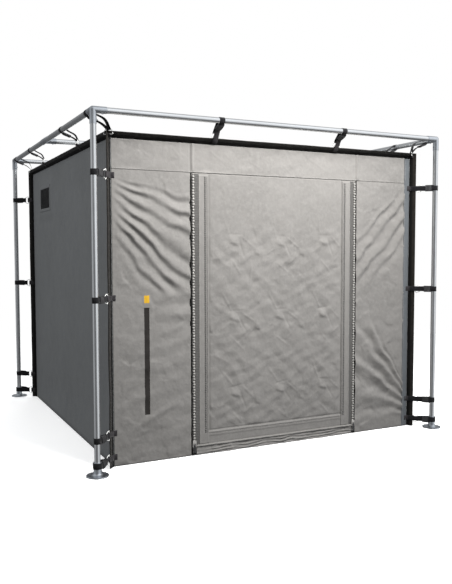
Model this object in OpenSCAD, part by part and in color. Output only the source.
// Walk-in shielding tent strapped inside a free-standing frame of four posts and five rails.
// Origin: on the ground at the centre of the frame. +X is right, +Y is back, +Z is up.
// The door is in the front wall, on the -Y side.

/* [Tent] */
// Width of the tent over its side walls
tent_w = 2422; // [2300:1:2440]
// Depth of the tent over its front and back walls
tent_d = 2462; // [2300:1:2480]
// Height of the roof's top face above the ground
roof_z = 2120; // [2080:1:2130]
// Thickness of the wall cloth laminate
cloth_t = 4; // [3:0.5:5]
// Height of the groundsheet's underside above the ground
sheet_z = 4; // [2:1:10]
// Width of the bound seam fins
fin_w = 50; // [40:1:55]
// Thickness of the bound seam fins
fin_t = 3; // [2:0.5:3]

/* [Door] */
// Width of the door over its zip edges
door_w = 1345; // [1200:5:1400]
// Offset of the door's centre to the right of the tent's centre
door_x = 20; // [0:5:40]
// Height of the header seam that the door hangs from
header_z = 1925; // [1900:5:1950]
// Width of the dark zip tape between the door and the fixed panels
zip_gap = 10; // [6:1:16]
// Width of the row of zip teeth
chain_w = 20; // [16:1:24]
// Height of the loose hem at the foot of the door
hem_z = 72; // [60:1:90]
// Width of the grey strip at the right edge of the front wall
edge_strip_w = 45; // [35:1:60]

/* [Frame] */
// Distance between the post axes, left to right
frame_w = 2710; // [2700:1:2740]
// Distance between the post axes, front to back
frame_d = 2722; // [2715:1:2750]
// Height of the top rails' axes
rail_z = 2258; // [2250:1:2280]
// Outside diameter of the tubes
tube_d = 38.1; // [36:0.1:40]
// Wall thickness of the tubes
tube_t = 2; // [1.5:0.1:3]
// Height of the joint in each post
post_joint_z = 1178; // [1140:1:1220]

/* [Fittings] */
// Outside diameter of the corner and tee fittings
fitting_d = 43; // [42:0.5:46]
// Length of a fitting's arm from the crossing of the axes
arm_l = 85; // [75:1:95]
// Diameter of a foot's flange
foot_d = 141; // [120:1:150]
// Height of a foot's socket
foot_h = 88; // [80:1:100]
// Outside diameter of a foot's socket
foot_socket_d = 52; // [50:1:54]

/* [Ties] */
// Width of the tie webbing
web_w = 38; // [30:1:38]
// Thickness of the tie webbing
web_t = 2.4; // [2:0.1:2.5]
// Thickness of the tie rings
ring_t = 5; // [4:0.5:5]
// Distance between a tie ring's narrow and wide bars
ring_l = 32; // [28:1:36]

/* [Vent] */
// Width of the vent along the left wall
vent_w = 350; // [200:5:400]
// Height of the vent
vent_h = 172; // [100:2:200]
// Distance of the vent's centre behind the tent's centre
vent_y = 720; // [500:5:900]
// Height of the vent's centre
vent_z = 1862; // [1700:2:1900]

/* [Hidden] */

$fn = 64;

// Side signs
left = -1;
right = 1;
front = -1;
back = 1;

// Tent walls and the frame's axes, measured from the centre
wall_x = tent_w / 2;
wall_y = tent_d / 2;
frame_x = frame_w / 2;
frame_y = frame_d / 2;
wall_bottom = sheet_z + cloth_t;
wall_top = roof_z - cloth_t;

// Door edges and the faces of the front wall
door_left = door_x - door_w / 2;
door_right = door_x + door_w / 2;
front_face = -wall_y;
door_gap = 4;
door_bottom = wall_bottom + 8;
door_top = header_z - door_gap;

// Zip: the teeth stand off the door on a narrow web, and the slider grips them
teeth_t = 5;
web_gap = 3;
zip_web_w = 6;
zip_top = door_top - 6;
zip_bottom = door_bottom + 4;
run = 0.3;
slider_w = chain_w + 6;
slider_h = 45;
slider_z = 60;
slider_back = 0.4;
slider_t = 2.7;
slider_depth = web_gap + teeth_t + run + slider_t;
slot_w = 10;
pin_d = 3;
pin_y = -15.5;
pin_z = slider_z + 24;
ear_t = 2.5;
ear_h = 10;
ear_gap = 8;
tab_w = 13;
tab_t = 3;
tab_l = 60;
tab_eye_d = 7;
tab_neck_l = 12;
tab_play = 0.3;

// Sewn strips on the door
band_w = 50;
border_w = 76;
border_t = 2;
hem_t = 6;
panel_foot_z = 158;

// Frame joints
tube_r = tube_d / 2;
bore_d = tube_d + 0.2;
core_l = 23;
seat_gap = 1;
foot_floor = 12;
flange_t = 8;
foot_fillet = 14;
spigot_d = tube_d - 2 * tube_t - 0.2;
spigot_t = 2.5;
post_spigot_l = 160;
rail_joint_x = 19;
collar_l = 98;
rail_spigot_l = 240;

// Set screws
screw_d = 6;
screw_l = 5.5;
boss_d = 12;
boss_r = fitting_d / 2 + 3;
screw_from_mouth = 25;
foot_screw_z = 30;

// Ties: heights on the posts and places along the rails
foot_tie_z = 66;
post_tie_z = [222, 1099, 1883];
front_tie_x = [-490, 490];
left_tie_y = [-560, 580];
right_tie_y = [-880, 560];
corner_tie_y = 1240;
ring_narrow = 20;
ring_wide = 31;
bar_out = 7;
bar_r = 3.6;
buckle_l = 60;
buckle_w = 48;
buckle_t = 11;
buckle_start = 15;
leg_t = 2.5;
leg_start = 12;
corner_leg_start = 3;
corner_reach = 14;
fold_web = 3;
panel_leg_l = 24;
sewn_gap = 0.1;
fin_end = 30;
fin_miter = 6;
belt_inset = 0.12;

// Tie geometry is drawn in a plane whose origin is the wall's edge: both axes point out of the
// tent and the seam fin stands at 45 degrees. A tie is [place of the tube's axis, distance of
// the ring's wide bar from the wall's edge, direction of the ring from its wide bar].
fin_reach = fin_w + bar_out;
post_tie = [[frame_x - wall_x, frame_y - wall_y], fin_reach, 45];
side_tie = [[frame_x - wall_x, rail_z - roof_z], fin_reach, 95];
front_tie = [[frame_y - wall_y, rail_z - roof_z], fin_reach, 95];
corner_tie = [[frame_x - wall_x, rail_z - roof_z], corner_reach, 100];
function wide_bar(tie) = tie[1] * [1, 1] / sqrt(2);
function narrow_bar(tie) = wide_bar(tie) + ring_l * [cos(tie[2]), sin(tie[2])];
function strap_l(tie) = norm(narrow_bar(tie) - tie[0]);
function strap_angle(tie) =
    let (away = narrow_bar(tie) - tie[0]) atan2(away[1], away[0]);

aluminium = [0.78, 0.79, 0.80];
casting = [0.66, 0.67, 0.68];
silver_cloth = [0.62, 0.61, 0.60];
grey_cloth = [0.34, 0.35, 0.36];
black_cloth = [0.10, 0.10, 0.11];
webbing = [0.16, 0.15, 0.17];
steel = [0.75, 0.75, 0.74];

// ---- Placement ----

module flip(x, y) {
    mirror([x ? 1 : 0, 0, 0]) mirror([0, y ? 1 : 0, 0]) children();
}

// From a corner whose arms point to +X and +Y to the frame's corner on the given sides
module to_corner(sx, sy, z = 0) {
    translate([sx * frame_x, sy * frame_y, z]) flip(sx > 0, sy > 0) children();
}

module arm_x() {
    rotate([0, 90, 0]) children();
}

module arm_y() {
    rotate([-90, 0, 0]) rotate([0, 0, 90]) children();
}

module arm_down() {
    rotate([180, 0, 0]) children();
}

module at_corner_arms() {
    arm_x() children();
    arm_y() children();
    arm_down() children();
}

module at_tee_arms() {
    arm_x() children();
    arm_y() children();
    mirror([0, 1, 0]) arm_y() children();
}

module at_post_ties(levels) {
    for (sx = [left, right], sy = [front, back], z = levels)
        translate([sx * wall_x, sy * wall_y, z]) flip(sx < 0, sy < 0) children();
}

module at_side_ties(sx, places) {
    for (y = places)
        translate([sx * wall_x, y, roof_z]) flip(sx < 0, false) rotate([90, 0, 0]) children();
}

module at_side_rails() {
    at_side_ties(left, left_tie_y) children();
    at_side_ties(right, right_tie_y) children();
}

module at_corner_ties() {
    for (sx = [left, right])
        at_side_ties(sx, [-corner_tie_y, corner_tie_y]) children();
}

module at_front_ties() {
    for (sy = [front, back], x = front_tie_x)
        translate([x, sy * wall_y, roof_z]) flip(false, sy < 0) rotate([90, 0, 90]) children();
}

// ---- Frame ----

module tube(length) {
    difference() {
        cylinder(d = tube_d, h = length);
        translate([0, 0, -1]) cylinder(d = tube_d - 2 * tube_t, h = length + 2);
    }
}

module post_lower(sx, sy) {
    color(aluminium) to_corner(sx, sy, foot_floor + seat_gap)
        tube(post_joint_z - foot_floor - 1.5 * seat_gap);
}

module post_upper(sx, sy) {
    color(aluminium) to_corner(sx, sy, post_joint_z + seat_gap / 2)
        tube(rail_z - core_l - post_joint_z - 1.5 * seat_gap);
}

// A rail along X from the corner's socket to the collar at its middle
module rail_x_left(y) {
    start = -frame_x + core_l + seat_gap;
    color(aluminium) translate([start, y, rail_z]) arm_x()
        tube(rail_joint_x - collar_l / 2 - seat_gap / 2 - start);
}

module rail_x_right(y) {
    start = rail_joint_x + collar_l / 2 + seat_gap / 2;
    color(aluminium) translate([start, y, rail_z]) arm_x()
        tube(frame_x - core_l - seat_gap - start);
}

// Half of a side rail, between a corner fitting and the tee at the rail's middle
module side_rail(sx, sy) {
    start = core_l + seat_gap;
    color(aluminium) translate([sx * frame_x, 0, rail_z]) flip(false, sy < 0)
        translate([0, start, 0]) arm_y() tube(frame_y - 2 * start);
}

module arm_solid() {
    cylinder(d = fitting_d, h = arm_l);
    translate([0, 0, arm_l - screw_from_mouth]) rotate([0, 90, 0]) cylinder(d = boss_d, h = boss_r);
}

module arm_bore() {
    translate([0, 0, core_l]) cylinder(d = bore_d, h = arm_l);
    translate([0, 0, arm_l - screw_from_mouth]) rotate([0, 90, 0])
        cylinder(d = screw_d + 0.2, h = boss_r + 1);
}

module corner_fitting(sx, sy) {
    color(casting) to_corner(sx, sy, rail_z) difference() {
        union() {
            sphere(d = fitting_d);
            at_corner_arms() arm_solid();
        }
        at_corner_arms() arm_bore();
    }
}

module tee_fitting(sx) {
    color(casting) translate([sx * frame_x, 0, rail_z]) flip(sx > 0, false) difference() {
        at_tee_arms() arm_solid();
        at_tee_arms() arm_bore();
    }
}

module foot_profile() {
    socket_r = foot_socket_d / 2;
    square([foot_d / 2 - 2, flange_t]);
    square([foot_d / 2, flange_t - 2]);
    translate([foot_d / 2 - 2, flange_t - 2]) circle(r = 2);
    square([socket_r, foot_h]);
    difference() {
        translate([socket_r, flange_t]) square(foot_fillet);
        translate([socket_r + foot_fillet, flange_t + foot_fillet]) circle(r = foot_fillet);
    }
}

module foot(sx, sy) {
    color(casting) to_corner(sx, sy) difference() {
        rotate_extrude() foot_profile();
        translate([0, 0, foot_floor]) cylinder(d = bore_d, h = foot_h);
        translate([0, 0, foot_screw_z]) rotate([0, 90, 0])
            cylinder(d = screw_d + 0.2, h = foot_socket_d);
    }
}

module spigot_tube(length, d = spigot_d) {
    difference() {
        translate([0, 0, -length / 2]) cylinder(d = d, h = length);
        translate([0, 0, -length]) cylinder(d = spigot_d - 2 * spigot_t, h = 2 * length);
    }
}

module post_spigots() {
    color(aluminium) for (sx = [left, right], sy = [front, back])
        to_corner(sx, sy, post_joint_z) spigot_tube(post_spigot_l);
}

module rail_spigots() {
    color(aluminium) for (y = [-frame_y, 0, frame_y])
        translate([rail_joint_x, y, rail_z]) arm_x() {
            spigot_tube(rail_spigot_l);
            spigot_tube(collar_l, tube_d);
        }
}

// A hexagon-socket set screw whose point rests on the tube
module set_screw() {
    rotate([0, 90, 0]) translate([0, 0, bore_d / 2]) difference() {
        cylinder(d = screw_d, h = screw_l);
        translate([0, 0, screw_l - 2.5]) cylinder(d = 3.4, h = 3, $fn = 6);
    }
}

module set_screws() {
    color(steel) {
        for (sx = [left, right], sy = [front, back]) {
            to_corner(sx, sy, rail_z) at_corner_arms()
                translate([0, 0, arm_l - screw_from_mouth]) set_screw();
            to_corner(sx, sy, foot_screw_z) set_screw();
        }
        for (sx = [left, right])
            translate([sx * frame_x, 0, rail_z]) flip(sx > 0, false) at_tee_arms()
                translate([0, 0, arm_l - screw_from_mouth]) set_screw();
    }
}

// ---- Tent cloth ----

// An upright sheet in the front or back wall, its outer face at the given distance
module front_sheet(x0, x1, z0, z1, out = 0, t = cloth_t) {
    translate([x0, front_face - out, z0]) cube([x1 - x0, t, z1 - z0]);
}

module left_wall() {
    color(grey_cloth) difference() {
        translate([-wall_x, -wall_y, wall_bottom]) cube([cloth_t, tent_d, wall_top - wall_bottom]);
        translate([-wall_x - 1, vent_y - vent_w / 2, vent_z - vent_h / 2])
            cube([cloth_t + 2, vent_w, vent_h]);
    }
}

module right_wall() {
    color(grey_cloth) translate([wall_x - cloth_t, -wall_y, wall_bottom])
        cube([cloth_t, tent_d, wall_top - wall_bottom]);
}

module back_wall() {
    color(grey_cloth) translate([-wall_x + cloth_t, wall_y - cloth_t, wall_bottom])
        cube([tent_w - 2 * cloth_t, cloth_t, wall_top - wall_bottom]);
}

module roof() {
    color(grey_cloth) translate([-wall_x, -wall_y, wall_top]) cube([tent_w, tent_d, cloth_t]);
}

module groundsheet() {
    color(black_cloth) translate([-wall_x, -wall_y, sheet_z]) cube([tent_w, tent_d, cloth_t]);
}

module front_left_panel() {
    color(silver_cloth) front_sheet(-wall_x + cloth_t, door_left - zip_gap, wall_bottom, header_z);
}

module front_right_panel() {
    color(silver_cloth)
        front_sheet(door_right + zip_gap, wall_x - cloth_t - edge_strip_w, wall_bottom, header_z);
}

module front_edge_strip() {
    color(grey_cloth)
        front_sheet(wall_x - cloth_t - edge_strip_w, wall_x - cloth_t, wall_bottom, header_z);
}

module front_header() {
    color(silver_cloth) front_sheet(-wall_x + cloth_t, wall_x - cloth_t, header_z, wall_top);
}

// A fin along its own X axis, standing at 45 degrees between +Y and +Z
module fin(length) {
    rotate([45, 0, 0]) translate([-length / 2, 0, -fin_t / 2]) cube([length, fin_w, fin_t]);
}

// The fins along the four top edges stop short of the corners, where a tie tab is sewn
module top_seam_fins() {
    color(black_cloth) for (s = [-1, 1]) {
        translate([0, s * wall_y, roof_z]) flip(false, s < 0) fin(tent_w - 2 * fin_miter);
        translate([s * wall_x, 0, roof_z]) flip(s < 0, false) rotate([0, 0, -90])
            fin(tent_d - 2 * fin_end);
    }
}

module corner_seam_fins() {
    color(black_cloth) for (sx = [left, right], sy = [front, back])
        translate([sx * wall_x, sy * wall_y, 0]) flip(sx < 0, sy < 0) rotate([0, 0, 45])
            translate([0, -fin_t / 2, wall_bottom]) cube([fin_w, fin_t, wall_top - wall_bottom]);
}

module vent_screen() {
    color(black_cloth) translate([-wall_x + 1, vent_y - vent_w / 2, vent_z - vent_h / 2])
        cube([cloth_t - 1, vent_w, vent_h]);
}

module vent_border() {
    border = 25;
    color(grey_cloth) translate([-wall_x - 1.5, vent_y, vent_z]) rotate([90, 0, 90])
        linear_extrude(1.5) difference() {
            square([vent_w + 2 * border, vent_h + 2 * border], center = true);
            square([vent_w, vent_h], center = true);
        }
}

// ---- Ties ----

// Outline of a belt round a wheel at the origin and a smaller one at distance l along X.
// The straight runs lie a hair inside the tangents, so that they cross both wheels cleanly.
module belt(r0, r1, l) {
    c = (r0 - r1) / l;
    normal = [c, sqrt(1 - c * c)];
    a = (r0 - belt_inset) * normal;
    b = [l, 0] + (r1 - belt_inset) * normal;
    circle(r = r0);
    translate([l, 0]) circle(r = r1);
    polygon([a, b, [b[0], -b[1]], [a[0], -a[1]]]);
}

module from_tube(tie) {
    translate(tie[0]) rotate(strap_angle(tie)) children();
}

// The webbing loop round a tube of radius r and the narrow bar of the ring
module strap(tie, r, slack = 0) {
    from_tube(tie) linear_extrude(web_w + 4 * slack, center = true) difference() {
        belt(r + run + web_t + slack, bar_r + run + web_t + slack, strap_l(tie));
        belt(r + run - slack, bar_r + run - slack, strap_l(tie));
    }
}

// A cam buckle threaded on one run of the strap, beside the tube
module buckle(tie, r, on_front_run = false) {
    slope = asin((r - bar_r) / strap_l(tie));
    difference() {
        from_tube(tie) flip(false, on_front_run) rotate(-slope)
            translate([buckle_start, r + run + web_t / 2 - buckle_t / 2])
                linear_extrude(buckle_w, center = true) square([buckle_l, buckle_t]);
        strap(tie, r, 0.2);
    }
}

module ring(tie) {
    h = ring_t / 2;
    translate(narrow_bar(tie)) rotate(tie[2] + 180) rotate([90, 0, 0])
        linear_extrude(ring_t, center = true) difference() {
            polygon([[-h, -ring_narrow - ring_t], [-h, ring_narrow + ring_t],
                [ring_l + h, ring_wide + ring_t], [ring_l + h, -ring_wide - ring_t]]);
            polygon([[h, -ring_narrow], [h, ring_narrow],
                [ring_l - h, ring_wide], [ring_l - h, -ring_wide]]);
        }
}

// The webbing tab folded round the ring's wide bar; its two legs hold the fin between them
module tab_outline(start, reach) {
    difference() {
        union() {
            translate([start, -fin_t / 2 - leg_t]) square([reach - start, fin_t + 2 * leg_t]);
            translate([reach, 0]) circle(r = bar_r + run + leg_t);
        }
        translate([-1, -fin_t / 2 - sewn_gap])
            square([reach - bar_r - fold_web + 1, fin_t + 2 * sewn_gap]);
        translate([reach, 0]) circle(r = bar_r + run);
    }
}

module rail_tab() {
    linear_extrude(web_w, center = true) rotate(45) tab_outline(leg_start, fin_reach);
}

// A corner tab has no fin between its legs, so it starts at the wall's edge
module corner_tab() {
    linear_extrude(web_w, center = true) rotate(45) tab_outline(corner_leg_start, corner_reach);
}

// A post tab runs on past the foot of the fin and across the front or back wall
module post_tab() {
    linear_extrude(web_w, center = true) {
        rotate(45) tab_outline(leg_start, fin_reach);
        rotate(45) translate([0.2, fin_t / 2 + sewn_gap]) square([leg_start + 2, leg_t]);
        translate([-panel_leg_l - fin_t / 2, 2 * sewn_gap]) square([panel_leg_l, leg_t]);
    }
}

module post_tie_tabs() {
    color(webbing) {
        at_post_ties(concat(foot_tie_z, post_tie_z)) post_tab();
    }
}

module rail_tie_tabs() {
    color(webbing) {
        at_side_rails() rail_tab();
        at_front_ties() rail_tab();
        at_corner_ties() corner_tab();
    }
}

module tie_rings() {
    color(steel) {
        at_post_ties(concat(foot_tie_z, post_tie_z)) ring(post_tie);
        at_side_rails() ring(side_tie);
        at_front_ties() ring(front_tie);
        at_corner_ties() ring(corner_tie);
    }
}

module post_tie_straps() {
    color(webbing) {
        at_post_ties([foot_tie_z]) strap(post_tie, foot_socket_d / 2);
        at_post_ties(post_tie_z) strap(post_tie, tube_r);
    }
}

module rail_tie_straps() {
    color(webbing) {
        at_side_rails() strap(side_tie, tube_r);
        at_front_ties() strap(front_tie, tube_r);
        at_corner_ties() strap(corner_tie, tube_r);
    }
}

module tie_buckles() {
    color(black_cloth) {
        at_post_ties([foot_tie_z]) buckle(post_tie, foot_socket_d / 2, true);
        at_post_ties(post_tie_z) buckle(post_tie, tube_r, true);
        at_side_rails() buckle(side_tie, tube_r);
        at_front_ties() buckle(front_tie, tube_r);
        at_corner_ties() buckle(corner_tie, tube_r);
    }
}

// ---- Door ----

module zip_tapes() {
    color(black_cloth) {
        front_sheet(door_left - zip_gap, door_left - 1, door_bottom, door_top, 0, 2);
        front_sheet(door_right + 1, door_right + zip_gap, door_bottom, door_top, 0, 2);
    }
}

module door_panel() {
    color(silver_cloth) front_sheet(door_left, door_right, door_bottom, door_top);
}

module door_border() {
    outer_w = door_w - 2 * band_w;
    color(silver_cloth) difference() {
        front_sheet(door_x - outer_w / 2, door_x + outer_w / 2, hem_z, door_top - 8,
            border_t, border_t);
        front_sheet(door_x - outer_w / 2 + border_w, door_x + outer_w / 2 - border_w,
            panel_foot_z, door_top, border_t + 1, border_t + 2);
    }
}

module door_hem() {
    inset = chain_w + 6;
    color(silver_cloth)
        front_sheet(door_left + inset, door_right - inset, door_bottom, hem_z - 1, hem_t, hem_t);
}

// Cross-section of the teeth and the web that carries them, front face towards -Y
module chain_section() {
    translate([-chain_w / 2, -web_gap - teeth_t]) square([chain_w, teeth_t]);
    translate([-zip_web_w / 2, -web_gap - 0.1]) square([zip_web_w, web_gap + 0.1]);
}

function chain_x(s) = door_x + s * (door_w / 2 - 1 - chain_w / 2);

module zip_chains() {
    color(steel) for (s = [left, right])
        translate([chain_x(s), front_face, zip_bottom])
            linear_extrude(zip_top - zip_bottom) chain_section();
}

// The slider's channel clears the teeth by the running gap
module slider_section() {
    difference() {
        translate([-slider_w / 2, -slider_depth]) square([slider_w, slider_depth - slider_back]);
        translate([-chain_w / 2 - run, -web_gap - teeth_t - run])
            square([chain_w + 2 * run, teeth_t + 2 * run]);
        translate([-slot_w / 2, -web_gap]) square([slot_w, web_gap + 1]);
    }
}

// Two ears on the slider's face hold the pin that the pull tab hangs on
module zip_slider(s) {
    color(steel) translate([chain_x(s), front_face, 0]) {
        translate([0, 0, slider_z]) linear_extrude(slider_h) slider_section();
        for (x = [-ear_gap / 2 - ear_t, ear_gap / 2])
            translate([x, pin_y - pin_d, pin_z - ear_h / 2])
                cube([ear_t, pin_d - pin_y - slider_depth, ear_h]);
        translate([-ear_gap / 2 - 1, pin_y, pin_z]) rotate([0, 90, 0])
            cylinder(d = pin_d, h = ear_gap + 2);
    }
}

module pull_tab(s) {
    neck_w = ear_gap - 2 * tab_play;
    color(black_cloth) translate([chain_x(s), front_face + pin_y, pin_z]) difference() {
        union() {
            translate([-neck_w / 2, 0, 0]) rotate([0, 90, 0]) cylinder(d = tab_eye_d, h = neck_w);
            translate([-neck_w / 2, -tab_t / 2, -tab_neck_l]) cube([neck_w, tab_t, tab_neck_l]);
            translate([-tab_w / 2, -tab_t / 2, -tab_l]) cube([tab_w, tab_t, tab_l - 10]);
        }
        translate([-ear_gap, 0, 0]) rotate([0, 90, 0]) cylinder(d = pin_d + 0.2, h = 2 * ear_gap);
    }
}

// ---- Nodes ----

post_lower(left, front);  // front_left_post_lower
post_upper(left, front);  // front_left_post_upper
post_lower(right, front);  // front_right_post_lower
post_upper(right, front);  // front_right_post_upper
post_lower(left, back);  // back_left_post_lower
post_upper(left, back);  // back_left_post_upper
post_lower(right, back);  // back_right_post_lower
post_upper(right, back);  // back_right_post_upper
rail_x_left(-frame_y);  // front_rail_left
rail_x_right(-frame_y);  // front_rail_right
rail_x_left(frame_y);  // back_rail_left
rail_x_right(frame_y);  // back_rail_right
side_rail(left, front);  // left_rail_front
side_rail(left, back);  // left_rail_back
side_rail(right, front);  // right_rail_front
side_rail(right, back);  // right_rail_back
rail_x_left(0);  // cross_rail_left
rail_x_right(0);  // cross_rail_right
corner_fitting(left, front);  // front_left_corner_fitting
corner_fitting(right, front);  // front_right_corner_fitting
corner_fitting(left, back);  // back_left_corner_fitting
corner_fitting(right, back);  // back_right_corner_fitting
tee_fitting(left);  // left_tee_fitting
tee_fitting(right);  // right_tee_fitting
foot(left, front);  // front_left_foot
foot(right, front);  // front_right_foot
foot(left, back);  // back_left_foot
foot(right, back);  // back_right_foot
post_spigots();
rail_spigots();
set_screws();
left_wall();
right_wall();
back_wall();
roof();
groundsheet();
front_left_panel();
front_right_panel();
front_edge_strip();
front_header();
top_seam_fins();
corner_seam_fins();
vent_screen();
vent_border();
post_tie_tabs();
rail_tie_tabs();
tie_rings();
post_tie_straps();
rail_tie_straps();
tie_buckles();
zip_tapes();
door_panel();
door_border();
door_hem();
zip_chains();
zip_slider(left);  // left_zip_slider
zip_slider(right);  // right_zip_slider
pull_tab(left);  // left_pull_tab
pull_tab(right);  // right_pull_tab
